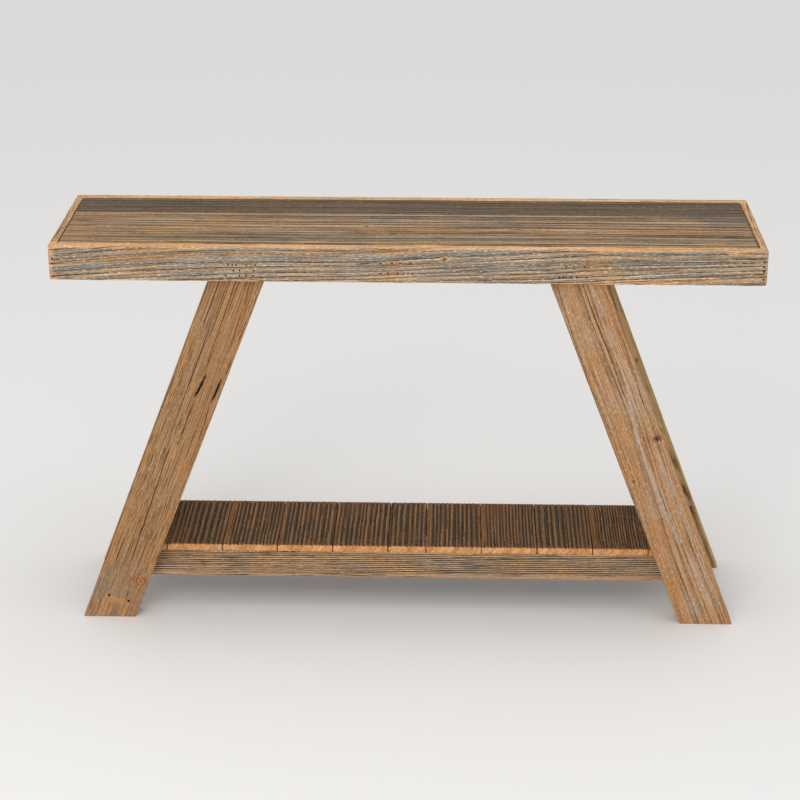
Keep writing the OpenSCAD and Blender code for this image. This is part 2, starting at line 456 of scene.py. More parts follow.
@dataclass(frozen=True)
class SawnEnd(Finish):
    """End grain of a softwood board, cut across with a saw: growth rings and a fuzzy, dry face."""

    early: str
    late: str
    dirt: str
    ring_mm: float = 3.0
    dirt_amount: float = 0.3
    roughness: float = 0.88

    def look(self, tree: Tree) -> dict[str, object]:
        """Draws the growth rings and the dirt.

        Args:
            tree: The material's tree.

        Returns:
            The shader's inputs.
        """
        place = add_node(tree, "TexCoord", out="Object")
        rings = {"Scale": 1 / (self.ring_mm * MM), "Detail": 3.0, "Roughness": 0.65}
        dirt = {"Scale": 1 / (24 * MM), "Detail": 4.0, "Roughness": 0.7}
        rings, dirt = (
            add_node(tree, "TexNoise", {"Vector": place, **inputs}) for inputs in (rings, dirt)
        )
        grain = add_node(tree, "UVMap", uv_map=GRAIN_MAP)
        lines = drawn_noise(tree, grain, self.ring_mm, 50 / self.ring_mm, 2.0, 0.5)
        rings = add_node(tree, "Mix", {0: 0.55, 2: rings, 3: lines})
        face = add_node(tree, "ValToRGB", {"Fac": rings})
        set_ramp(face.node.color_ramp, [(0.4, self.late), (0.56, self.early)])
        relief = add_node(
            tree, "Attribute", out="Fac", attribute_name=RELIEF, attribute_type="GEOMETRY"
        )
        face = lay_coats(
            tree,
            face,
            (dirt, 0.45, 0.7, self.dirt_amount * 2, self.dirt),
            (relief, -0.3, -0.9, 0.9, SEAM_DIRT_AND_SHADE),
        )
        fuzz = {"Height": rings, "Strength": 0.5, "Distance": 0.3 * MM}
        return {
            "Base Color": face,
            "Normal": add_node(tree, "Bump", fuzz),
            "Roughness": self.roughness,
            "Specular IOR Level": 0.2,
        }


@dataclass(frozen=True)
class SawnPine(Finish):
    """Planed softwood kept out of the weather, as the hidden cleats are: pale, with soft grain."""

    name: str = "sawn_pine"
    early: str = "#c9a77c"
    late: str = "#a67c50"
    grain_mm: float = 5.0
    roughness: float = 0.7

    def look(self, tree: Tree) -> dict[str, object]:
        """Draws the grain of boards that lie front to back.

        Args:
            tree: The material's tree.

        Returns:
            The shader's inputs.
        """
        place = add_node(tree, "TexCoord", out="Object")
        across = 1 / (self.grain_mm * MM)
        scale = (across, across / 30, across)
        drawn = add_node(tree, "Mapping", {"Vector": place, "Scale": scale})
        grain = {"Vector": drawn, "Scale": 1.0, "Detail": 4.0, "Roughness": 0.6}
        grain = add_node(tree, "TexNoise", grain)
        face = add_node(tree, "ValToRGB", {"Fac": grain})
        set_ramp(face.node.color_ramp, [(0.35, self.late), (0.62, self.early)])
        raised = {"Height": grain, "Strength": 0.4, "Distance": 0.2 * MM}
        return {
            "Base Color": face,
            "Normal": add_node(tree, "Bump", raised),
            "Roughness": self.roughness,
            "Specular IOR Level": 0.3,
        }


@dataclass(frozen=True)
class Steel(Finish):
    """Steel of a fastener: drawn and bare, browned by rust, or plated with yellow zinc."""

    bright: str
    dull: str
    metallic: float
    roughness: float
    patch_mm: float = 1.2

    def look(self, tree: Tree) -> dict[str, object]:
        """Draws bright and dull patches.

        Args:
            tree: The material's tree.

        Returns:
            The shader's inputs.
        """
        place = add_node(tree, "TexCoord", out="Object")
        patches = {"Vector": place, "Scale": 1 / (self.patch_mm * MM), "Detail": 3.0}
        patches = add_node(tree, "TexNoise", patches)
        face = add_node(tree, "ValToRGB", {"Fac": patches})
        set_ramp(face.node.color_ramp, [(0.4, self.dull), (0.62, self.bright)])
        rough = {"Value": patches, "From Min": 0.3, "From Max": 0.7}
        rough |= {"To Min": self.roughness + 0.15, "To Max": self.roughness - 0.1}
        return {
            "Base Color": face,
            "Metallic": self.metallic,
            "Roughness": add_node(tree, "MapRange", rough),
        }


APRON_PINE = WeatheredPine(
    "weathered_pine_apron",
    groove="#352c24", valley="#7b7469", valley_light="#a89e8e", ridge="#a07f5c",
    ridge_light="#c4a27b", fresh="#dba873", cool="#84827c", cool_amount=0.45, warm="#b48250",
    warm_amount=0.4, wear_amount=0.9, fibre_strength=0.3, fleck_amount=0.5,
)
END_BOARD_PINE = WeatheredPine(
    "weathered_pine_end_board",
    groove="#5c4530", valley="#927353", valley_light="#b08f69", ridge="#b48a5e",
    ridge_light="#d0a97b", fresh="#d6a873", cool_amount=0.3,
)
DECK_FRONT_PINE = WeatheredPine(
    "weathered_pine_deck_front",
    groove="#1c150e", valley="#4f4336", valley_light="#85725b", ridge="#9d805d",
    ridge_light="#b8966b", fresh="#b38051", cool="#57544e", line_mm=2.2, line_stretch=160,
    line_strength=0.6, fibre_strength=0.22, wear_amount=0.75, wear_start=0.95,
)
DECK_MIDDLE_PINE = WeatheredPine(
    "weathered_pine_deck_middle",
    groove="#221a14", valley="#55493b", valley_light="#84725d", ridge="#9a7d5d",
    ridge_light="#b4926b", fresh="#b3895f", cool="#575755", cool_amount=0.5, line_mm=2.2,
    line_stretch=160, line_strength=0.55, fibre_strength=0.2, wear_amount=0.75,
    wear_start=0.95,
)
DECK_BACK_PINE = WeatheredPine(
    "weathered_pine_deck_back",
    groove="#241d17", valley="#483f34", valley_light="#5f5343", ridge="#66523c",
    ridge_light="#766148", fresh="#8e6943", cool="#44423e", cool_amount=0.4, warm="#66472f",
    line_mm=2.2, line_stretch=160, line_strength=0.3, wear_amount=0.7, wear_start=0.95,
)
LEFT_LEG_PINE = WeatheredPine(
    "weathered_pine_left_leg",
    groove="#45301d", valley="#825f3e", valley_light="#9b7752", ridge="#9d734b",
    ridge_light="#b88c5f", fresh="#bd8752", cool="#827464", cool_amount=0.5, warm="#9b693d",
    line_mm=1.3, line_strength=0.3, fibre_strength=0.2, hair_mm=26.0, hair_width=0.004,
    slit_level=0.28, fleck_amount=0.08, wear_amount=0.6, knot="#ac7547",
)
RIGHT_LEG_PINE = WeatheredPine(
    "weathered_pine_right_leg",
    groove="#73563a", valley="#95704b", valley_light="#a7815a", ridge="#aa7d52",
    ridge_light="#bd9267", fresh="#be8c57", cool="#b0a193", cool_amount=0.25, warm="#ab7547",
    warm_amount=0.5, fleck="#dbcec2", fleck_amount=0.34, line_mm=1.3, line_strength=0.24,
    fibre_strength=0.2, hair_mm=30.0, hair_width=0.003, slit_level=0.26, wear_amount=0.5,
)
REAR_LEG_PINE = WeatheredPine(
    "weathered_pine_rear_leg",
    groove="#5c452b", valley="#9c7a4e", valley_light="#b0905f", ridge="#b08c5d",
    ridge_light="#c8aa78", fresh="#c6a06a", cool="#5f4c34", cool_amount=0.3, hair_mm=24.0,
    line_strength=0.2, fibre_strength=0.1, fleck_amount=0.1, slit_level=0.28,
)
RAIL_PINE = WeatheredPine(
    "weathered_pine_rail",
    groove="#0c0706", valley="#2e231b", valley_light="#887157", ridge="#bb9770",
    ridge_light="#d8b289", fresh="#be936b", cool="#5a5755", cool_amount=0.45, line_mm=1.3,
    line_stretch=260, line_strength=0.3, fibre_strength=0.2, wear_amount=0.8, wear_start=0.9,
)
SLAT_PINE = WeatheredPine(
    "weathered_pine_slat",
    groove="#1c140c", valley="#30251a", valley_light="#4a3b29", ridge="#7e5833",
    ridge_light="#996c3e", fresh="#8b5e31", cool="#473e31", cool_amount=0.4, warm="#774c26",
    warm_amount=0.35, fleck="#8b7a62", fleck_amount=0.45, line_mm=1.3, fibre_strength=0.36,
    wear_amount=0.8, wear_start=0.85,
)
OLD_END = SawnEnd("old_sawn_end", early="#b58a5c", late="#7a5837", dirt="#5d4630", dirt_amount=0.4)
NEW_END = SawnEnd(
    "new_sawn_end", early="#e3ab72", late="#b47441", dirt="#875c38", dirt_amount=0.35,
    ring_mm=2.2
)
POCKET_DIRT = SawnEnd("pocket_dirt", early="#33261b", late="#1f1711", dirt="#17110c")
RUSTY_STEEL = Steel("rusty_steel", bright="#4a3a2e", dull="#241a14", metallic=0.6, roughness=0.6)
ZINC_STEEL = Steel(
    "yellow_zinc_steel", bright="#d8c27a", dull="#a88f50", metallic=1.0, roughness=0.35
)


# ---- Boards ----------------------------------------------------------------------------------


@dataclass(frozen=True)
class Knot:
    """Knot in a board's face, in millimetres from the board's middle."""

    along: float
    across: float
    radius: float


@dataclass(frozen=True)
class DarkGroove:
    """Dark groove in a board's face, in millimetres from the board's middle: a drying crack, or a
    strip of painted shade on a leg's face.
    """

    start: tuple[float, float]
    end: tuple[float, float]
    width: float
    depth: float


@dataclass(frozen=True)
class Stain:
    """Band of a board's face that something kept fresh, or that weather greyed most.

    It runs from its start to its end, in millimetres from the board's middle.
    """

    start: tuple[float, float]
    end: tuple[float, float]
    width: float
    amount: float                # 1 for fresh wood, -1 for the greyest
    softness: float = 0.5        # 0.2 where something lay on the board


@dataclass(frozen=True)
class Weathering:
    """How weather has carved a board's faces, in millimetres.

    The sizes are real ones: a ridge stands at each growth ring, and runs the whole board.
    """

    ring_mm: float = 10.0        # space between two growth rings
    ring_spread: float = 0.25    # how uneven that space is
    ridge_share: float = 0.45    # how much of it the hard late wood takes
    ring_depth: float = 0.7      # height of a ridge over the valley beside it
    groove_mm: float = 1.1       # width of the groove at a ridge's steep side, painted dark with dirt and shade
    line_mm: float = 2.2         # half the space between two fine lines
    line_depth: float = 0.3
    line_stretch: float = 50.0
    rise: float = 0.0            # how far the grain climbs across the board for each mm along it
    sway_mm: float = 2.0         # how far the grain wanders from straight
    sway_length: float = 420.0
    rough_mm: float = 0.5        # unevenness of the faces over a hand's width
    chip_mm: float = 1.2         # how deep the edges are rubbed away
    side_share: float = 0.5      # how deep the edges are carved beside the faces

    def rings(self, across: np.ndarray, seed: int) -> np.ndarray:
        """Works out the height of the growth rings.

        Late wood ends all at once and early wood turns to late wood bit by bit, so a ridge has
        one steep side and one gentle one. Rain cuts a groove along the steep side.

        Args:
            across: Place across the grain, in mm.
            seed: What makes the rings this board's own.

        Returns:
            The height at each place, from 0 in a groove to 1 on a ridge.
        """
        chance = np.random.default_rng(1000 + seed)
        low, high = across.min() - 5, across.max() + 5
        count = int((high - low) / self.ring_mm * 2) + 4
        spread = np.exp(chance.normal(0, self.ring_spread, count))
        ends = low + np.cumsum(self.ring_mm * spread)
        widths = np.diff(np.concatenate(([low], ends)))
        ring = np.clip(np.searchsorted(ends, across), 0, count - 1)
        t = 1 - (ends[ring] - across) / widths[ring]
        strength = chance.uniform(0.65, 1.0, count)[ring]
        groove = np.clip(self.groove_mm / widths[ring], 0.08, 0.5)
        floor = np.clip((t / groove - 0.4) / 0.6, 0, 1) * 0.3
        start = 1 - self.ridge_share
        climb = np.clip((t - start + 0.12) / 0.24, 0, 1)
        climb = climb * climb * (3 - 2 * climb)
        return floor + (0.7 * climb + 0.1 * t) * strength


class Facing(Enum):
    """The way a board's length runs, and the way its face points."""

    FRONT = (RIGHT, -BACK)
    REAR = (-RIGHT, BACK)
    TOP = (RIGHT, UP)
    LEFT_END = (-BACK, -RIGHT)
    RIGHT_END = (BACK, RIGHT)
    SLAT = (BACK, UP)


def placing(along: Vector, face: Vector, middle: Vector) -> Matrix:
    """Works out where a board's own frame stands in the table's.

    Args:
        along: The way that the board's length runs.
        face: The way that its face points.
        middle: The board's middle.

    Returns:
        The matrix from the board's frame to the table's.
    """
    turn = Matrix((along, face.cross(along), face)).transposed()
    return Matrix.Translation(middle) @ turn.to_4x4()


@dataclass
class Board:
    """A board in its own frame: X along its length, Y across it, Z out of its face."""

    node: str
    length: float
    width: float
    thickness: float
    place: Matrix
    weathering: Weathering
    seed: int
    arris: float = 2.2 * MM
    end_arris: float = 0.9 * MM
    corner: float = 0.0
    side_wear: float = 0.0
    end_wear: float = 5 * MM
    side_dirt: float = 0.0
    end_dirt: float = 0.0
    dirt_level: float = -1.1
    knots: tuple[Knot, ...] = ()
    dark_grooves: tuple[DarkGroove, ...] = ()
    stains: tuple[Stain, ...] = ()
    holes: tuple[tuple[float, float], ...] = ()
    hole_radius: float = 2.4 * MM
    hole_depth: float = 7 * MM
    trims: tuple[tuple[Vector, Vector], ...] = ()
    along_step: float = 10 * MM
    across_step: float = 1.0 * MM
    obj: bpy.types.Object = field(init=False)

    def build(self, *finishes: bpy.types.Material) -> None:
        """Makes the board without its fastener pockets, still in its own frame.

        Args:
            finishes: Finish of the faces, of the cut ends, and of the pockets.
        """
        self._rough_out()
        for finish in finishes:
            self.obj.data.materials.append(finish)
        self._divide()
        self._lay_grain()
        self._wear_down()
        relief = self._raise_grain()
        # The grooves lower the relief: the cracks take dirt, and the shade strips take painted
        # shade.
        relief = relief - 1.5 * self._open_dark_grooves()
        co = np.abs(self._points())
        for dirt, size, axis in ((self.side_dirt, self.width, 1), (self.end_dirt, self.length, 0)):
            if dirt:
                relief[size / 2 - co[:, axis] < dirt] = self.dirt_level
        write_attribute(self.obj, RELIEF, relief)
        self._trim()
        self._note_wear()
        self._mark_ends()
        if self.holes:
            face = self.thickness / 2
            at = [self.place @ Vector((x * MM, y * MM, face)) for x, y in self.holes]
            self.sink(at, self.hole_radius, self.hole_depth)

    def _points(self, what: str = "co") -> np.ndarray:
        """Reads the places of the board's points, or their normals."""
        return read(self.obj.data.vertices, what, 3)

    # -- shaping

    def _rough_out(self) -> None:
        """Saws the board to size and takes its edges off."""
        bpy.ops.object.select_all(action="DESELECT")
        bpy.ops.mesh.primitive_cube_add(size=1.0)
        self.obj = bpy.context.active_object
        self.obj.name = self.obj.data.name = f"weathered_{self.node}"
        self.obj.scale = (self.length, self.width, self.thickness)
        bpy.ops.object.transform_apply(location=False, rotation=False, scale=True)
        bpy.ops.object.mode_set(mode="EDIT")
        rim = 0.499 * self.width
        if self.corner:
            bevels = (
                (lambda a, b: abs(a.y - b.y) > 0.9 * self.width, self.corner, 4),
                (lambda a, b: min(abs(a.y), abs(b.y)) > rim and a.y * b.y > 0, self.arris, 3),
            )
        else:
            bevels = (
                (lambda a, b: abs(a.x - b.x) > 0.9 * self.length, self.arris, 3),
                (lambda a, b: abs(a.x - b.x) < 0.1 * MM, self.end_arris, 1),
            )
        for test, size, segments in bevels:
            self._select_edges(test)
            bpy.ops.mesh.bevel(offset=size, segments=segments, affect="EDGES")
        bpy.ops.object.mode_set(mode="OBJECT")

    def _divide(self) -> None:
        """Divides the faces finely across the grain and coarsely along it."""
        bpy.ops.object.mode_set(mode="EDIT")
        round_off = 2 * max(self.arris, self.end_arris, self.corner) + 1 * MM
        steps = (self.along_step, self.across_step, self.across_step)
        for axis, size in enumerate((self.length, self.width, self.thickness)):
            least = size - round_off
            self._select_edges(lambda a, b: abs(a[axis] - b[axis]) > least)
            bpy.ops.mesh.subdivide(number_cuts=max(1, round(size / steps[axis]) - 1))
        bpy.ops.object.mode_set(mode="OBJECT")

    def _select_edges(self, test: Callable[[Vector, Vector], bool]) -> None:
        """Selects the edges whose two ends pass a test.

        Args:
            test: What to ask of the two ends' places.
        """
        bpy.ops.mesh.select_mode(type="EDGE")
        bpy.ops.mesh.select_all(action="DESELECT")
        mesh = bmesh.from_edit_mesh(self.obj.data)
        for edge in mesh.edges:
            if test(edge.verts[0].co, edge.verts[1].co):
                edge.select = True
        bmesh.update_edit_mesh(self.obj.data)

    def _lay_grain(self) -> None:
        """Lays the grain map, in mm: it sways, climbs and flows round the knots."""
        mesh = self.obj.data
        grain = mesh.uv_layers.new(name=GRAIN_MAP)
        knot = mesh.uv_layers.new(name=KNOT_MAP)
        sides = read(mesh.polygons, "loop_total", kind=np.int32)
        normal = np.repeat(read(mesh.polygons, "normal", 3), sides, axis=0)
        corners = read(mesh.loops, "vertex_index", kind=np.int32)
        along, across, up = (self._points()[corners] / MM).T
        half, thick = self.width / MM / 2, self.thickness / MM
        on_side, on_end = np.abs(normal[:, 1]) > 0.75, np.abs(normal[:, 0]) > 0.75
        wrapped = np.where(on_side, np.sign(across) * (half + thick / 2 - up), across)
        wrapped = np.where(normal[:, 2] < -0.5, 2 * half + thick - across, wrapped)
        wrapped = np.where(on_end, across + 0.9 * up, wrapped)

        w = self.weathering
        chance = np.random.default_rng(self.seed)
        lines = wrapped - w.rise * along
        for share in (1.0, 0.6, 0.35, 0.25):
            length = w.sway_length * (0.35 + 0.65 * share) * chance.uniform(0.8, 1.25)
            tilt = chance.uniform(-1, 1) / 160
            turn = (along / length + wrapped * tilt) * 2 * math.pi + chance.uniform(0, 6.3)
            lines = lines + share * w.sway_mm * np.sin(turn)
        offset = np.full((len(along), 2), 50.0)
        on_face = normal[:, 2] > 0.5
        for item in self.knots:
            dx, dy = along - item.along, across - item.across
            reach = (dx / (3.2 * item.radius)) ** 2 + (dy / (2.6 * item.radius)) ** 2
            lines = lines - np.where(on_face, dy * np.exp(-reach) * 0.92, 0)
            here = np.stack((dx, dy), 1) / item.radius
            closer = on_face & (np.hypot(*here.T) < np.hypot(*offset.T))
            offset = np.where(closer[:, None], here, offset)
        shift = 331.7 * self.seed
        uv = np.stack((along + 3 * shift, lines + shift), 1)
        grain.data.foreach_set("uv", uv.astype(np.float32).ravel())
        knot.data.foreach_set("uv", offset.astype(np.float32).ravel())

    def _wear_down(self) -> None:
        """Makes the faces uneven and rubs the edges away in places."""
        w = self.weathering
        to_arris = (self.width + self.thickness) / 2 - np.abs(self._points())[:, 1:].sum(1)
        edge = np.exp(-np.clip(to_arris - self.arris, 0, None) / (2.5 * MM))
        self._carve(60.0, w.rough_mm)
        self._carve(17.0, w.chip_mm, edge, level=0.72)

    def _raise_grain(self) -> np.ndarray:
        """Washes the soft wood out between the growth rings.

        Returns:
            The height of the grain at each point, from 0 in a groove to 1 on a ridge.
        """
        w = self.weathering
        mesh = self.obj.data
        corners = read(mesh.loops, "vertex_index", kind=np.int32)
        across = np.zeros(len(mesh.vertices))
        across[corners] = read(mesh.uv_layers[GRAIN_MAP].data, "uv", 2)[:, 1]
        rings = w.rings(across, self.seed)
        normals = self._points("normal")
        on_face = np.abs(normals[:, 2]) > 0.6
        share = np.where(on_face, 1.0, w.side_share)
        self._displace(rings, strength=w.ring_depth * w.side_share * MM)
        self._displace(None, strength=-0.6 * w.ring_depth * w.side_share * MM)
        self._displace(rings * on_face, strength=w.ring_depth * (1 - w.side_share) * MM)
        ringed = self._points()
        self._carve(w.line_mm, w.line_depth, share, w.line_stretch)
        fine = ((self._points() - ringed) * normals).sum(1) / MM / share
        return rings + fine / w.ring_depth

    def _open_dark_grooves(self) -> np.ndarray:
        """Opens the drying cracks and the painted shade strips, each a groove that narrows to
        nothing at both ends.

        Returns:
            The grooves' depth at each point, in mm.
        """
        co = self._points() / MM
        depth = np.zeros(len(co))
        if not self.dark_grooves:
            return depth
        for wave, split in enumerate(self.dark_grooves, start=self.seed):
            start, end = np.array(split.start), np.array(split.end)
            run = end - start
            t = ((co[:, :2] - start) @ run) / (run @ run)
            wander = 0.5 * np.sin(t * 7 + wave) + 0.25 * np.sin(t * 19 + 2 * wave)
            side = (co[:, 0] - start[0]) * -run[1] + (co[:, 1] - start[1]) * run[0]
            side = side / np.linalg.norm(run) + wander
            taper = np.sqrt(np.clip(4 * t * (1 - t), 0, 1))
            inside = np.clip(1.3 - np.abs(side) / (split.width * taper + 1e-6), 0, 1)
            depth = np.maximum(depth, inside * taper * split.depth)
        depth = np.where(co[:, 2] > 0, depth, 0)
        deepest = max(split.depth for split in self.dark_grooves)
        self._displace(depth / deepest, strength=-deepest * MM, direction="Z")
        return depth

    def _displace(self, weights: np.ndarray | None, mid_level: float = 0.0, **more: object) -> None:
        """Moves the surface with one modifier, and applies it.

        Args:
            weights: How far each point follows, from 0 to 1, or None where all follow fully.
            mid_level: The texture value that stays where it is.
            more: The modifier's other settings.
        """
        shape = self.obj.modifiers.new("shape", "DISPLACE")
        for name, value in {"mid_level": mid_level, **more}.items():
            setattr(shape, name, value)
        if weights is not None:
            group = self.obj.vertex_groups.new(name="follow")
            levels = np.round(np.clip(weights, 0, 1) * 50).astype(int)
            for level in np.unique(levels[levels > 0]):
                group.add(np.nonzero(levels == level)[0].tolist(), float(level) / 50, "REPLACE")
            shape.vertex_group = group.name
        pick(self.obj)
        bpy.ops.object.modifier_apply(modifier=shape.name)
        self.obj.vertex_groups.clear()

    def _carve(
        self,
        size_mm: float,
        depth_mm: float,
        weights: np.ndarray | None = None,
        stretch: float = 0.0,
        level: float = 0.5,
    ) -> None:
        """Moves the surface by a noise.

        Args:
            size_mm: Size of the noise's hills.
            depth_mm: Height of its hills over its hollows.
            weights: How far each point follows, or None.
            stretch: How much longer than wide the hills are along the grain, or 0 for round
                ones that have nothing to do with the grain.
            level: The noise value that stays where it is.
        """
        noise = bpy.data.textures.new("carving", "CLOUDS")
        noise.noise_basis = "IMPROVED_PERLIN"
        noise.noise_depth = 1
        noise.noise_scale = 1.0
        gauge = bpy.data.objects.new("gauge", None)
        how = {"mid_level": level, "strength": depth_mm * MM, "texture": noise}
        layers = self.obj.data.uv_layers
        if stretch:
            drawn = layers.new(name="drawn")
            uv = read(layers[GRAIN_MAP].data, "uv", 2, np.float32)
            uv = uv / (2 * size_mm) / (stretch, 1)
            drawn.data.foreach_set("uv", uv.astype(np.float32).ravel())
            self._displace(weights, texture_coords="UV", uv_layer=drawn.name, **how)
            layers.remove(layers["drawn"])
        else:
            bpy.context.scene.collection.objects.link(gauge)
            gauge.scale = [size_mm * MM] * 3
            gauge.location = (0.37 * self.seed, 0.11 * self.seed, 0.05 * self.seed)
            bpy.context.view_layer.update()
            self._displace(weights, texture_coords="OBJECT", texture_coords_object=gauge, **how)
        bpy.data.textures.remove(noise)
        bpy.data.objects.remove(gauge)

    def _trim(self) -> None:
        """Saws the ends off where the board has angled cuts, and leaves a ring beside each."""
        if not self.trims:
            return
        pick(self.obj)
        bpy.ops.object.mode_set(mode="EDIT")
        for point, outwards in self.trims:
            for inset, cut in ((0.0, True), (0.8 * MM, False)):
                bpy.ops.mesh.select_all(action="SELECT")
                at = point - outwards * inset
                bpy.ops.mesh.bisect(plane_co=at, plane_no=outwards, use_fill=cut, clear_outer=cut)
        bpy.ops.object.mode_set(mode="OBJECT")

    def sink(self, at: list[Vector], radius: float, depth: float) -> None:
        """Sinks a pocket for each fastener head.

        Args:
            at: The heads' places in the table's frame.
            radius: Radius of a pocket's mouth.
            depth: Depth of a pocket under the nominal face.
        """
        home = self.place.inverted()
        local = [home @ point for point in at]
        bpy.ops.object.select_all(action="DESELECT")
        cutters = []
        for point in local:
            bpy.ops.mesh.primitive_cone_add(
                vertices=14,
                radius1=radius * 0.9,
                radius2=radius * 1.05,
                depth=2 * depth,
                location=(point.x, point.y, math.copysign(self.thickness / 2, point.z)),
                rotation=(0 if point.z > 0 else math.pi, 0, 0),
            )
            cutters.append(bpy.context.active_object)
        for cutter in cutters:
            cutter.select_set(True)
        bpy.context.view_layer.objects.active = cutters[0]
        if len(cutters) > 1:
            bpy.ops.object.join()
        tool = bpy.context.active_object
        for finish in self.obj.data.materials:
            tool.data.materials.append(finish)
        for face in tool.data.polygons:
            face.material_index = len(tool.data.materials) - 1
        # The cut loses the relief round a pocket, so it is taken from the points that were near.
        known = KDTree(len(self.obj.data.vertices))
        squeeze = Vector((0.1, 1, 1))
        for vertex in self.obj.data.vertices:
            known.insert(vertex.co * squeeze, vertex.index)
        known.balance()
        heights = read(self.obj.data.attributes[RELIEF].data, "value")
        pick(self.obj)
        drill = self.obj.modifiers.new("drill", "BOOLEAN")
        drill.operation = "DIFFERENCE"
        drill.solver = "EXACT"
        drill.object = tool
        bpy.ops.object.modifier_apply(modifier=drill.name)
        bpy.data.objects.remove(tool)
        relief = read(self.obj.data.attributes[RELIEF].data, "value")
        for vertex in self.obj.data.vertices:
            if any((vertex.co - point).length < 2.5 * radius for point in local):
                found = known.find_n(vertex.co * squeeze, 3)
                shares = [1 / (distance + 1e-5) for _, _, distance in found]
                total = sum(s * heights[index] for s, (_, index, _) in zip(shares, found))
                relief[vertex.index] = total / sum(shares)
        write_attribute(self.obj, RELIEF, relief)

    def _note_wear(self) -> None:
        """Stores how worn each point is: by an edge, by an end, or where something covered it."""
        co = self._points()
        to_arris = (self.width + self.thickness) / 2 - np.abs(co[:, 1:]).sum(1)
        wear = np.exp(-np.clip(to_arris, 0, None) / (3.5 * MM))
        if not self.trims:
            to_end = np.clip(self.length / 2 - np.abs(co[:, 0]), 0, None)
            wear = np.maximum(wear, np.exp(-to_end / self.end_wear))
        for stain in self.stains:
            start, run = np.array(stain.start), np.subtract(stain.end, stain.start)
            length = np.linalg.norm(run)
            off = co[:, :2] / MM - start
            t = off @ run / length
            side = (off[:, 0] * run[1] - off[:, 1] * run[0]) / length
            side = side + 0.08 * stain.width * np.sin(t / 23 + stain.width)
            soft = stain.softness * stain.width + 0.6
            cover = np.clip((stain.width / 2 - np.abs(side)) / soft + 0.5, 0, 1)
            soft = stain.softness * 25
            cover *= np.clip(np.minimum(t, length - t) / soft + 0.5, 0, 1) * (co[:, 2] > 0)
            wear = wear * (1 - cover) + stain.amount * cover
        on_side = np.abs(self._points("normal")[:, 1]) > 0.6
        wear = np.where(on_side, np.maximum(wear, self.side_wear), wear)
        write_attribute(self.obj, WEAR, wear)

    def _mark_ends(self) -> None:
        """Gives the cut ends their finish and shades the rest smooth."""
        pick(self.obj)
        ways = [outwards for _, outwards in self.trims] or [RIGHT, -RIGHT]
        for face in self.obj.data.polygons:
            if any(face.normal.dot(way) > 0.8 for way in ways):
                face.material_index = 1
        bpy.ops.object.shade_smooth_by_angle(angle=math.radians(42))

    def set_in_place(self) -> None:
        """Moves the board into the table, and hands it to the frame.
        """
        pick(self.obj)
        self.obj.matrix_world = self.place
        bpy.ops.object.transform_apply(location=True, rotation=True, scale=True)
        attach(self.obj, ROOT)
        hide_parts(self.node)
        LOG.info("%s: %d faces", self.obj.name, len(self.obj.data.polygons))


def boxed_board(
    node: str, facing: Facing, weathering: Weathering, seed: int, **more: object
) -> Board:
    """Plans a board that fills a node's box.

    Args:
        node: The frame's node that the board stands for.
        facing: The way it faces.
        weathering: How weather has carved it.
        seed: What makes its grain its own.
        more: The board's other fields.

    Returns:
        The board, not yet built.
    """
    low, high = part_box(node)
    along, face = facing.value
    place = placing(along, face, (low + high) / 2)
    spans = [abs(place.to_3x3().col[i].dot(high - low)) for i in range(3)]
    return Board(node, *spans, place, weathering, seed, **more)


# ---- Sub-assemblies --------------------------------------------------------------------------


@dataclass
class Finishes:
    """The finishes, each made once and shared by the pieces that have it."""

    made: dict[str, bpy.types.Material] = field(default_factory=dict)

    def get(self, finish: Finish) -> bpy.types.Material:
        """Makes a finish the first time it is asked for."""
        if finish.name not in self.made:
            self.made[finish.name] = finish.make()
        return self.made[finish.name]


@dataclass
class Assembly:
    """A part of the table, which is built around the frame's nodes."""

    nodes: Nodes
    finishes: Finishes

    def build(self) -> None:
        """Builds and dresses its pieces."""
        raise NotImplementedError

    def set_board(
        self,
        board: Board,
        slot: str,
        face: WeatheredPine,
        end: SawnEnd = OLD_END,
        pockets: tuple[list[Vector], float, float] | None = None,
    ) -> None:
        """Builds a board with its pockets, and sets it in the table.

        Args:
            board: The board as planned.
            slot: Not used.
            face: Finish of its faces.
            end: Finish of its cut ends.
            pockets: The fastener heads in it, and their pockets' radius and depth.
        """
        board.build(*(self.finishes.get(finish) for finish in (face, end, POCKET_DIRT)))
        if pockets:
            board.sink(*pockets)
        board.set_in_place()


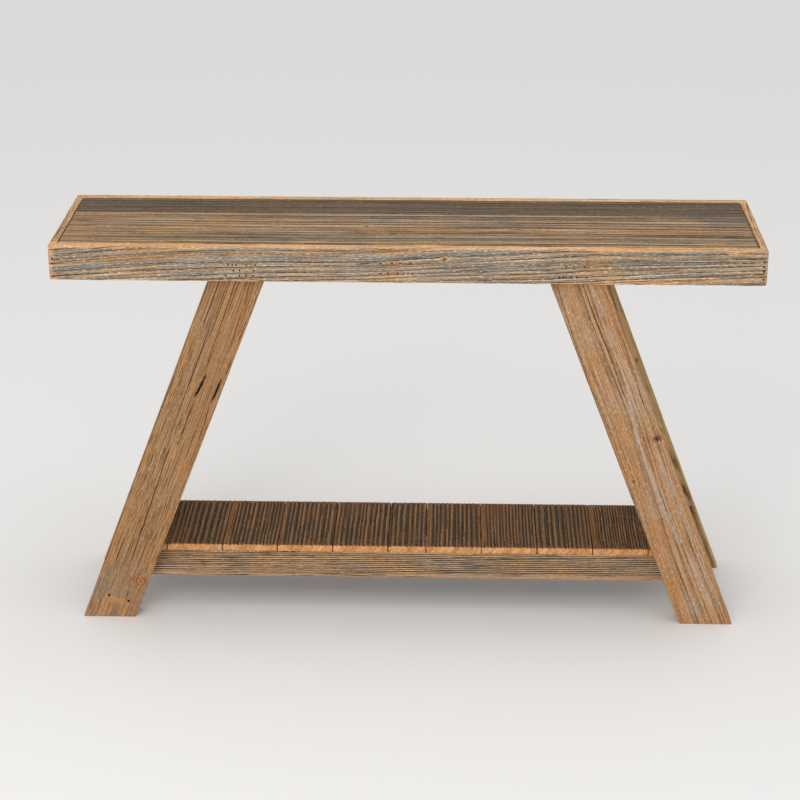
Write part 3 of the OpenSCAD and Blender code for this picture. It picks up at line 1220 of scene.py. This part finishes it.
@dataclass
class BoxTop(Assembly):
    """Shallow box top: aprons front and back, an end board at each end, three deck boards."""

    apron_weather: Weathering = Weathering(
        ring_mm=8.5, ring_spread=0.42, ring_depth=0.8, groove_mm=1.5, line_mm=1.5,
        line_depth=0.35, rise=0.042, sway_mm=2.4, sway_length=700.0,
    )
    deck_weather: Weathering = Weathering(
        ring_mm=9.0, ring_spread=0.4, ring_depth=0.6, ridge_share=0.55, groove_mm=3.4,
        line_mm=2.0, line_depth=0.3, line_stretch=140, rise=0.003, sway_mm=1.4,
        sway_length=900.0, chip_mm=0.7, side_share=0.3,
    )
    end_weather: Weathering = Weathering(ring_mm=7.0, ring_depth=0.5)
    apron_corner: float = 4.5 * MM
    end_gap: float = 0.5 * MM
    seam: float = 1.5 * MM
    seam_arris: float = 1.8 * MM
    brad_pocket: float = 1.7 * MM
    brad_depth: float = 1.6 * MM
    brad_reach: float = 3.5 * MM

    def build(self) -> None:
        """Builds every board of the top."""
        stains = (
            Stain((-612, 28), (-300, 29), 6, 0.7),
            Stain((-604, -31), (-604, 31), 16, 0.7),
            Stain((330, -24), (606, -20), 13, 0.6),
            Stain((540, 25), (606, 26), 12, 0.7),
            Stain((-90, -14), (240, 0), 13, -0.8),
            Stain((-540, 18), (-300, 20), 10, -0.6),
        )
        aprons = (
            ("front_apron", Facing.FRONT, 0, Knot(64, 12, 3.0)),
            ("back_apron", Facing.REAR, 1, Knot(-310, -6, 6.0)),
        )
        for seed, (node, facing, side, knot) in enumerate(aprons, start=1):
            board = boxed_board(
                node, facing, self.apron_weather, seed, knots=(knot,), corner=self.apron_corner,
                across_step=0.8 * MM, side_wear=0.85, stains=stains,
            )
            brads = f"{node}_brads"
            at = heads(self.nodes, brads, 1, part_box(brads)[side].y, self.brad_reach)
            pockets = (at, self.brad_pocket, self.brad_depth)
            self.set_board(board, "apron_wood", APRON_PINE, pockets=pockets)
        tight = {"end_arris": self.seam_arris, "end_dirt": self.seam}
        ends = (("left_end_board", Facing.LEFT_END), ("right_end_board", Facing.RIGHT_END))
        for seed, (node, facing) in enumerate(ends, start=3):
            board = boxed_board(node, facing, self.end_weather, seed, side_wear=0.55, **tight)
            board.length -= 2 * self.end_gap
            self.set_board(board, "end_board_wood", END_BOARD_PINE)
        rows = (
            ("front", DECK_FRONT_PINE, Knot(-87, 24, 3.5), (
                Stain((-600, 39), (600, 39), 12, 0.9),
                Stain((-560, -4), (-60, -6), 42, -0.8, 1.0),
                Stain((120, 0), (560, -8), 40, 0.4, 1.0),
            )),
            ("middle", DECK_MIDDLE_PINE, Knot(-73, -30, 3.5), (
                Stain((-600, -40), (600, -40), 11, 0.9),
                Stain((-600, 36), (600, 36), 13, 0.7),
                Stain((-300, 20), (600, 22), 17, -0.95),
            )),
            ("back", DECK_BACK_PINE, Knot(-93, -6, 3.5), (Stain((-600, 41), (600, 41), 7, 0.7),)),
        )
        for seed, (row, pine, knot, stains) in enumerate(rows, start=5):
            board = boxed_board(
                f"deck_board_{row}", Facing.TOP, self.deck_weather, seed, knots=(knot,),
                end_wear=1.5 * MM, stains=stains, **tight,
            )
            self.set_board(board, "deck_wood", pine)


LEFT_LEG_MARKS = {
    "knots": (Knot(28, 5, 3.5), Knot(-285, -30, 7.5), Knot(60, 32, 4)),
    "dark_grooves": (
        DarkGroove((92, -3), (140, -9), 1.9, 2.2),
        DarkGroove((94, -33), (144, -37), 1.7, 2.0),
        DarkGroove((92, -34), (20, -36), 0.9, 0.9),
        DarkGroove((345, 17), (-40, 12), 0.8, 0.75),
        DarkGroove((10, 8), (-320, -4), 0.8, 0.75),
        DarkGroove((350, 2), (110, -6), 0.8, 0.8),
        DarkGroove((95, -4), (-40, -8), 0.8, 0.8),
        DarkGroove((350, -23), (150, -34), 0.7, 0.7),
        DarkGroove((-90, -12), (-330, -16), 0.7, 0.7),
        # Painted shade: this groove along the outer edge is a dark strip for the leg's shaded side
        # face.
        DarkGroove((-350, 43.6), (350, 43.6), 0.9, 0.6),
    ),
    "stains": (
        Stain((-336, 21), (-336, -27), 17, 1.0, 0.2),
        Stain((-346, 16), (-400, 16), 11, 0.95, 0.2),
        Stain((-346, -20), (-400, -20), 9, 0.95, 0.2),
        Stain((-350, 0), (-400, 0), 14, -0.8),
        Stain((-310, 38), (350, 38), 9, 0.62),
        Stain((-350, -38), (350, -39), 11, 0.5),
        Stain((-290, -18), (-268, -40), 22, 0.5),
        Stain((230, 16), (40, 22), 16, -0.8, 1.0),
    ),
    "holes": ((-333, 14.5), (-331, -22)),
    "along_step": 4 * MM,
}
RIGHT_LEG_MARKS = {
    "knots": (Knot(-60, 30, 2.5),),
    "dark_grooves": (
        DarkGroove((52, -8), (345, -7), 1.1, 1.3),
        DarkGroove((-60, -6), (60, -9), 0.7, 0.6),
        DarkGroove((10, -8), (3, -46), 4.0, 1.1),
        DarkGroove((-340, -16), (-60, -3), 0.8, 0.6),
        # Painted shade: this groove along the inner edge is a dark strip for the shade at that edge.
        DarkGroove((-350, 43.6), (350, 43.6), 0.7, 0.4),
    ),
    "stains": (
        Stain((340, -18), (250, -22), 10, -1.1),
        Stain((235, -20), (110, -26), 14, -0.9, 1.0),
        Stain((120, -20), (20, -4), 9, -1.0),
        Stain((320, 24), (240, 30), 14, -0.8, 1.0),
        Stain((36, -3), (-111, -1), 8, -1.2),
        Stain((-108, -1), (-205, -9), 9, -1.25),
        Stain((-235, -13), (-350, -24), 14, -1.1, 1.0),
        Stain((-20, -26), (-350, -38), 12, -0.8),
        Stain((350, -41), (-350, -41), 5, 0.6),
        Stain((350, 39), (-350, 39), 9, 0.55),
        Stain((-290, 18), (-360, 4), 20, -0.8, 1.0),
    ),
    "along_step": 4 * MM,
}
REAR_RIGHT_LEG_MARKS = {
    "stains": (Stain((350, -41), (-350, -42), 5, 0.6),),
    "dark_grooves": (
        DarkGroove((67, -22), (63, -45), 4.0, 0.7),
        DarkGroove((-83, -22), (-87, -46), 3.5, 0.7),
        # Painted shadow: these two wide, shallow strips darken the leg where the front leg and the
        # shelf shade it.
        DarkGroove((-112, -27), (-176, -40), 7.0, 0.5),
        DarkGroove((-186, -30), (-238, -42), 6.0, 0.55),
    ),
    "along_step": 5 * MM,
}


@dataclass
class Legs(Assembly):
    """Four boards on edge that lean in towards the top, cut level at the top and the foot."""

    width: float = 89 * MM
    spare: float = 12 * MM
    close_grain: Weathering = Weathering(
        ring_mm=3.1, ring_spread=0.3, ring_depth=0.4, ridge_share=0.55, groove_mm=0.6,
        line_mm=1.3, line_depth=0.25, line_stretch=70, sway_mm=1.4, sway_length=800.0,
        side_share=0.8,
    )
    wide_grain: Weathering = Weathering(
        ring_mm=13.0, ring_spread=0.4, ring_depth=0.4, ridge_share=0.6, groove_mm=0.7,
        line_mm=1.5, line_depth=0.35, line_stretch=40, rise=-0.02, sway_mm=2.6,
        sway_length=600.0, side_share=0.8,
    )

    def build(self) -> None:
        """Builds the legs."""
        close, wide = self.close_grain, self.wide_grain
        legs = (
            ("front_left_leg", -1, -BACK, LEFT_LEG_PINE, close, LEFT_LEG_MARKS),
            ("front_right_leg", 1, -BACK, RIGHT_LEG_PINE, wide, RIGHT_LEG_MARKS),
            ("rear_left_leg", -1, BACK, REAR_LEG_PINE, close, {}),
            ("rear_right_leg", 1, -BACK, REAR_LEG_PINE, wide, REAR_RIGHT_LEG_MARKS),
        )
        for seed, (node, side, face, pine, grain, marks) in enumerate(legs, start=11):
            board = self._plan(node, side, face, weathering=grain, seed=seed, **marks)
            self.set_board(board, "leg_wood", pine)

    def _plan(self, node: str, side: int, face: Vector, **more: object) -> Board:
        """Plans one leg: its lean follows from its box and its width.

        Args:
            node: The leg's node.
            side: -1 on the left and 1 on the right.
            face: The way its face points.
            more: The board's weathering, seed and marks.

        Returns:
            The leg, not yet built.
        """
        low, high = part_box(node)
        run, rise = high.x - low.x, high.z - low.z
        lean = math.acos(self.width / math.hypot(run, rise)) - math.atan2(rise, run)
        along = Vector((-side * math.sin(lean), 0, math.cos(lean)))
        place = placing(along, face, (low + high) / 2)
        home = place.inverted()
        trims = tuple(
            (home @ Vector((0, 0, level)), home.to_3x3() @ (UP * way))
            for level, way in ((low.z, -1), (high.z, 1))
        )
        length = rise / math.cos(lean) + self.width * math.tan(lean) + self.spare
        return Board(node, length, self.width, high.y - low.y, place, trims=trims, **more)


@dataclass
class Shelf(Assembly):
    """Low shelf: a rail at the front and back, and eleven slats laid across them."""

    slat_rings: tuple[float, ...] = (8, 9.6, 7, 8.5, 8, 8, 8, 5.6, 8, 5, 7)
    slat_bare: tuple[float, ...] = (0, 0, 11, 4, 6, 0, 7, 8, 3, 12, 5)
    rail_weather: Weathering = Weathering(
        ring_mm=4.3, ring_spread=0.18, ring_depth=0.5, ridge_share=0.45, groove_mm=2.1,
        line_mm=1.4, line_depth=0.08, line_stretch=120, rise=0.004, sway_mm=0.9,
        sway_length=900.0,
    )
    slat_weather: Weathering = Weathering(
        ring_mm=7.0, ring_spread=0.2, ring_depth=0.9, ridge_share=0.38, line_mm=1.3,
        line_depth=0.25, sway_mm=0.4, sway_length=260.0, chip_mm=0.5, rough_mm=0.4,
        side_share=0.25,
    )
    slat_closeness: float = 0.4 * MM
    brad_pocket: float = 1.6 * MM
    brad_depth: float = 1.6 * MM
    brad_reach: float = 3.5 * MM
    screw_pocket: float = 4.4 * MM
    screw_depth: float = 1.2 * MM
    screw_reach: float = 9 * MM

    def build(self) -> None:
        """Builds the rails and the slats."""
        stains = (
            Stain((-600, -21), (600, -21), 14, 0.95),
            Stain((-350, 8), (-280, 4), 34, -1.1, 1.4),
            Stain((-262, 8), (-220, 2), 40, 0.75, 1.2),
            Stain((20, 4), (180, 6), 16, -0.8, 1.0),
        )
        rails = (("shelf_front_rail", Facing.FRONT, 1), ("shelf_back_rail", Facing.REAR, 0))
        for seed, (node, facing, inner) in enumerate(rails, start=21):
            board = boxed_board(
                node, facing, self.rail_weather, seed, across_step=0.65 * MM, stains=stains
            )
            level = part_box(node)[inner].y
            screws = heads(self.nodes, "shelf_rail_screws", 1, level, self.screw_reach)
            pockets = (screws, self.screw_pocket, self.screw_depth)
            self.set_board(board, "rail_wood", RAIL_PINE, pockets=pockets)
        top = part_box("slat_brads")[1].z
        brads = heads(self.nodes, "slat_brads", 2, top, self.brad_reach)
        for number, (ring, bare) in enumerate(zip(self.slat_rings, self.slat_bare), start=1):
            node = f"shelf_slat_{number}"
            board = boxed_board(
                node, Facing.SLAT, replace(self.slat_weather, ring_mm=ring), 30 + number,
                arris=1.2 * MM, end_wear=13 * MM,
            )
            board.width += 2 * self.slat_closeness
            board.side_dirt = 0.75 * MM if 1 < number < len(self.slat_rings) else 0.0
            edge = (board.width / MM - bare) / 2
            board.stains = (Stain((-200, edge), (200, edge), bare, 1.0),) if bare else ()
            low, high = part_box(node)
            mine = [point for point in brads if low.x < point.x < high.x]
            pockets = (mine, self.brad_pocket, self.brad_depth)
            self.set_board(board, "slat_wood", SLAT_PINE, NEW_END, pockets)


@dataclass
class Hidden(Assembly):
    """Cleats and fasteners, which keep the frame's own shapes and get their finishes."""

    cleats: tuple[str, ...] = ("left_end_cleat", "centre_cleat", "right_end_cleat")
    brads: tuple[str, ...] = ("front_apron_brads", "back_apron_brads", "slat_brads")
    screws: tuple[str, ...] = ("deck_screws", "end_cleat_screws", "shelf_rail_screws")

    def build(self) -> None:
        """Dresses the cleats and the fasteners."""
        dress = ((self.cleats, SawnPine()), (self.brads, RUSTY_STEEL), (self.screws, ZINC_STEEL))
        for names, finish in dress:
            for name in names:
                materials = self.nodes[name].data.materials
                materials.clear()
                materials.append(self.finishes.get(finish))
                LOG.info("%s: %s", name, finish.name)


# ---- Camera and light ------------------------------------------------------------------------


@dataclass
class Camera:
    """Camera in front of the table, a little to the right, looking down on it."""

    place: tuple[float, float, float] = (0.082, -3.518, 1.8031)
    pitch: float = 22.027
    swing: float = 1.586
    lens: float = 94.08

    def build(self) -> None:
        """Makes the camera and gives it to the scene."""
        data = bpy.data.cameras.new("camera")
        data.lens = self.lens
        data.sensor_width = 36.0
        camera = bpy.data.objects.new("camera", data)
        camera.location = self.place
        camera.rotation_euler = (math.radians(90 - self.pitch), 0, math.radians(self.swing))
        bpy.context.scene.collection.objects.link(camera)
        bpy.context.scene.camera = camera


@dataclass
class Studio:
    """Plain pale floor and plain soft light."""

    floor_size: float = 40.0
    floor_colour: str = "#e9e7e4"
    key_power: float = 48.0
    key_size: float = 2.4
    top_power: float = 12.0
    world_strength: float = 0.92

    def build(self) -> None:
        """Lays the floor and hangs the lights."""
        bpy.ops.object.select_all(action="DESELECT")
        bpy.ops.mesh.primitive_plane_add(size=self.floor_size)
        floor = bpy.context.active_object
        floor.name = "floor"
        material = bpy.data.materials.new("pale_floor")
        material.use_nodes = True
        shader = material.node_tree.nodes["Principled BSDF"]
        shader.inputs["Base Color"].default_value = linear(self.floor_colour)
        shader.inputs["Roughness"].default_value = 0.9
        floor.data.materials.append(material)
        self._hang("key", (-0.9, -3.4, 2.3), self.key_power, self.key_size)
        self._hang("top", (0.2, -0.3, 3.2), self.top_power, 2.6)
        world = bpy.data.worlds.new("soft_room")
        world.use_nodes = True
        sky = world.node_tree.nodes["Background"]
        sky.inputs["Color"].default_value = linear("#f4f5f7")
        sky.inputs["Strength"].default_value = self.world_strength
        bpy.context.scene.world = world
        bpy.context.scene.view_settings.view_transform = "Standard"

    def _hang(
        self, name: str, place: tuple[float, float, float], power: float, size: float
    ) -> None:
        """Hangs one soft square light, aimed at the table's middle.

        Args:
            name: The light's name.
            place: Where it hangs, in metres.
            power: Its power, in watts.
            size: Length of its side, in metres.
        """
        data = bpy.data.lights.new(name, "AREA")
        data.energy = power
        data.size = size
        light = bpy.data.objects.new(name, data)
        light.location = place
        aim = Vector((0, 0, 0.4)) - Vector(place)
        light.rotation_euler = aim.to_track_quat("-Z", "Y").to_euler()
        bpy.context.scene.collection.objects.link(light)


def main() -> None:
    """Builds the table's looks around its frame."""
    logging.basicConfig(level=logging.INFO, format="%(message)s")
    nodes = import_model()["nodes"]
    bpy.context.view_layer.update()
    Camera().build()
    finishes = Finishes()
    for assembly in (BoxTop, Legs, Shelf, Hidden):
        assembly(nodes, finishes).build()
    Studio().build()


if __name__ == "__main__":
    main()
